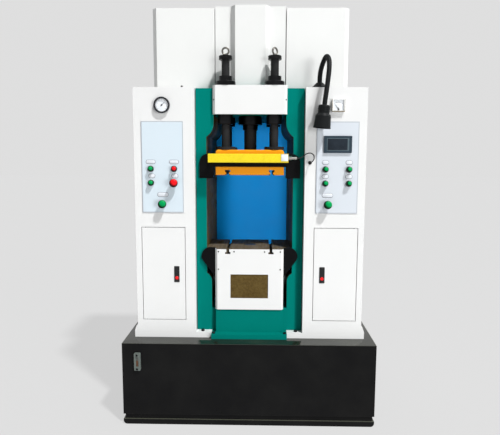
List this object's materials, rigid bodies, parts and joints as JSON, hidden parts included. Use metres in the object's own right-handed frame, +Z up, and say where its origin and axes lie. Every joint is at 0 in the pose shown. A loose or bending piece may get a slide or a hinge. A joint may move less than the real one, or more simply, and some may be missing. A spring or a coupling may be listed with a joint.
{
  "type": "hydraulic press",
  "caption": "Floor-standing hydraulic press: guided slide over a T-slotted table in a portal frame, control cabinets at both sides, oil-tank base, gooseneck work lamp.",
  "frame": {"origin": "middle of the base's footprint, on the floor", "axes": "+X to the right seen from the front, +Y to the back, +Z up; the slide travels along Z"},
  "size_m": [1.226, 0.85, 2.029],
  "materials": {
    "base_black": "semi-gloss black paint",
    "gauge_grey": "die-cast body with a clear window",
    "white_paint": "smooth off-white powder coat",
    "cover_white": "smooth off-white powder coat",
    "frame_green": "gloss teal-green machine paint",
    "table_steel": "ground steel",
    "mesh_bronze": "bronze-coloured steel grille",
    "bracket_black": "black paint",
    "guard_blue": "gloss blue paint",
    "cylinder_steel": "grey paint",
    "nut_steel": "blackened turned steel",
    "bush_steel": "blackened turned steel",
    "eye_steel": "forged and plated steel",
    "rod_black": "oil-blackened ground steel",
    "slide_orange": "gloss orange machine paint",
    "bar_yellow": "smooth yellow plastic",
    "nickel": "nickel-plated brass",
    "cable_black": "soft black sheath",
    "latch_black": "black coated die-casting",
    "latch_red": "smooth red plastic",
    "panel_paint": "smooth pale-blue coat",
    "bezel_metal": "satin aluminium",
    "button_green": "smooth green plastic",
    "button_red": "smooth red plastic",
    "case_black": "black plastic",
    "meter_white": "smooth white plastic",
    "needle_black": "black plastic",
    "screen_grey": "dark blue-grey plastic and a dark glass",
    "lamp_black": "charcoal coat",
    "unit_grey": "grey machine paint",
    "device_grey": "light grey plastic on a zinc-coated plate"
  },
  "bodies": {
    "frame": {"base_tank": "base_black", "level_gauge": "gauge_grey", "foot_plates": "white_paint", "left_column": "frame_green", "right_column": "frame_green", "crown_beam": "frame_green", "bed_beam": "frame_green", "crown_cover": "white_paint", "table_plate": "table_steel", "table_cover": "white_paint", "table_mesh": "mesh_bronze", "frame_brackets": "bracket_black", "rear_guard_panel": "guard_blue", "side_upper_covers": "cover_white", "centre_upper_cover": "cover_white", "main_cylinder": "cylinder_steel", "gland_nut": "nut_steel", "guide_bushes": "bush_steel", "ejector_cylinder": "cylinder_steel", "light_bar": "bar_yellow", "cable_gland": "nickel", "bar_cable": "cable_black", "left_cabinet": "white_paint", "right_cabinet": "white_paint", "door_hinge_pins": "nut_steel", "control_panels": "panel_paint", "button_bezels": "bezel_metal", "gauge_case": "case_black", "meter_case": "meter_white", "touch_screen": "screen_grey", "lamp_arm": "lamp_black", "lamp_shade": "lamp_black", "hydraulic_unit": "unit_grey", "electrical_plate": "device_grey"},
    "slide_group": {"slide": "slide_orange", "guide_rods": "rod_black", "stop_collars": "nut_steel", "lifting_eyes": "eye_steel", "main_ram": "rod_black"},
    "ejector_rod": {"ejector_rod": "rod_black"},
    "left_door": {"left_door": "white_paint", "left_latch": "latch_black"},
    "right_door": {"right_door": "white_paint", "right_latch": "latch_black"},
    "left_latch_lever": {"left_latch_lever": "latch_black"},
    "left_latch_button": {"left_latch_button": "latch_red"},
    "right_latch_lever": {"right_latch_lever": "latch_black"},
    "right_latch_button": {"right_latch_button": "latch_red"},
    "left_upper_outer_button": {"left_upper_outer_button": "button_green"},
    "left_upper_inner_button": {"left_upper_inner_button": "button_red"},
    "left_lower_outer_button": {"left_lower_outer_button": "button_green"},
    "left_lower_inner_button": {"left_lower_inner_button": "button_red"},
    "left_start_button": {"left_start_button": "button_green"},
    "right_upper_outer_button": {"right_upper_outer_button": "button_green"},
    "right_upper_inner_button": {"right_upper_inner_button": "button_green"},
    "right_lower_outer_button": {"right_lower_outer_button": "button_green"},
    "right_lower_inner_button": {"right_lower_inner_button": "button_green"},
    "right_start_button": {"right_start_button": "button_green"},
    "gauge_needle": {"gauge_needle": "needle_black"},
    "meter_needle": {"meter_needle": "needle_black"}
  },
  "joints": [
    {"name": "slide_travel", "type": "slide", "parent": "frame", "child": "slide_group", "axis": [0, 0, 1], "range_m": [-0.075, 0.095]},
    {"name": "ejector_travel", "type": "slide", "parent": "frame", "child": "ejector_rod", "axis": [0, 0, 1], "range_m": [0, 0.08]},
    {"name": "left_door_hinge", "type": "hinge", "parent": "frame", "child": "left_door", "pos_m": [-0.508, -0.308, 0.733], "axis": [0, 0, -1], "range_deg": [0, 110]},
    {"name": "right_door_hinge", "type": "hinge", "parent": "frame", "child": "right_door", "pos_m": [0.508, -0.308, 0.733], "axis": [0, 0, 1], "range_deg": [0, 110]},
    {"name": "left_latch_lever_swing", "type": "hinge", "parent": "left_door", "child": "left_latch_lever", "pos_m": [-0.356, -0.315, 0.764], "axis": [-1, 0, 0], "range_deg": [0, 55]},
    {"name": "left_latch_button_press", "type": "slide", "parent": "left_door", "child": "left_latch_button", "axis": [0, 1, 0], "range_m": [0, 0.002], "stiffness_N_per_m": 800},
    {"name": "right_latch_lever_swing", "type": "hinge", "parent": "right_door", "child": "right_latch_lever", "pos_m": [0.356, -0.315, 0.764], "axis": [-1, 0, 0], "range_deg": [0, 55]},
    {"name": "right_latch_button_press", "type": "slide", "parent": "right_door", "child": "right_latch_button", "axis": [0, 1, 0], "range_m": [0, 0.002], "stiffness_N_per_m": 800},
    {"name": "left_upper_outer_button_press", "type": "slide", "parent": "frame", "child": "left_upper_outer_button", "axis": [0, 1, 0], "range_m": [0, 0.004], "stiffness_N_per_m": 1000},
    {"name": "left_upper_inner_button_press", "type": "slide", "parent": "frame", "child": "left_upper_inner_button", "axis": [0, 1, 0], "range_m": [0, 0.004], "stiffness_N_per_m": 1000},
    {"name": "left_lower_outer_button_press", "type": "slide", "parent": "frame", "child": "left_lower_outer_button", "axis": [0, 1, 0], "range_m": [0, 0.004], "stiffness_N_per_m": 1000},
    {"name": "left_lower_inner_button_press", "type": "slide", "parent": "frame", "child": "left_lower_inner_button", "axis": [0, 1, 0], "range_m": [0, 0.004], "stiffness_N_per_m": 1000},
    {"name": "left_start_button_press", "type": "slide", "parent": "frame", "child": "left_start_button", "axis": [0, 1, 0], "range_m": [0, 0.004], "stiffness_N_per_m": 1000},
    {"name": "right_upper_outer_button_press", "type": "slide", "parent": "frame", "child": "right_upper_outer_button", "axis": [0, 1, 0], "range_m": [0, 0.004], "stiffness_N_per_m": 1000},
    {"name": "right_upper_inner_button_press", "type": "slide", "parent": "frame", "child": "right_upper_inner_button", "axis": [0, 1, 0], "range_m": [0, 0.004], "stiffness_N_per_m": 1000},
    {"name": "right_lower_outer_button_press", "type": "slide", "parent": "frame", "child": "right_lower_outer_button", "axis": [0, 1, 0], "range_m": [0, 0.004], "stiffness_N_per_m": 1000},
    {"name": "right_lower_inner_button_press", "type": "slide", "parent": "frame", "child": "right_lower_inner_button", "axis": [0, 1, 0], "range_m": [0, 0.004], "stiffness_N_per_m": 1000},
    {"name": "right_start_button_press", "type": "slide", "parent": "frame", "child": "right_start_button", "axis": [0, 1, 0], "range_m": [0, 0.004], "stiffness_N_per_m": 1000},
    {"name": "gauge_needle_turn", "type": "hinge", "parent": "frame", "child": "gauge_needle", "pos_m": [-0.416, -0.322, 1.548], "axis": [0, 1, 0], "range_deg": [-180, 90], "stiffness_Nm_per_rad": 0.002},
    {"name": "meter_needle_turn", "type": "hinge", "parent": "frame", "child": "meter_needle", "pos_m": [0.416, -0.322, 1.532], "axis": [0, 1, 0], "range_deg": [0, 80], "stiffness_Nm_per_rad": 0.002}
  ]
}
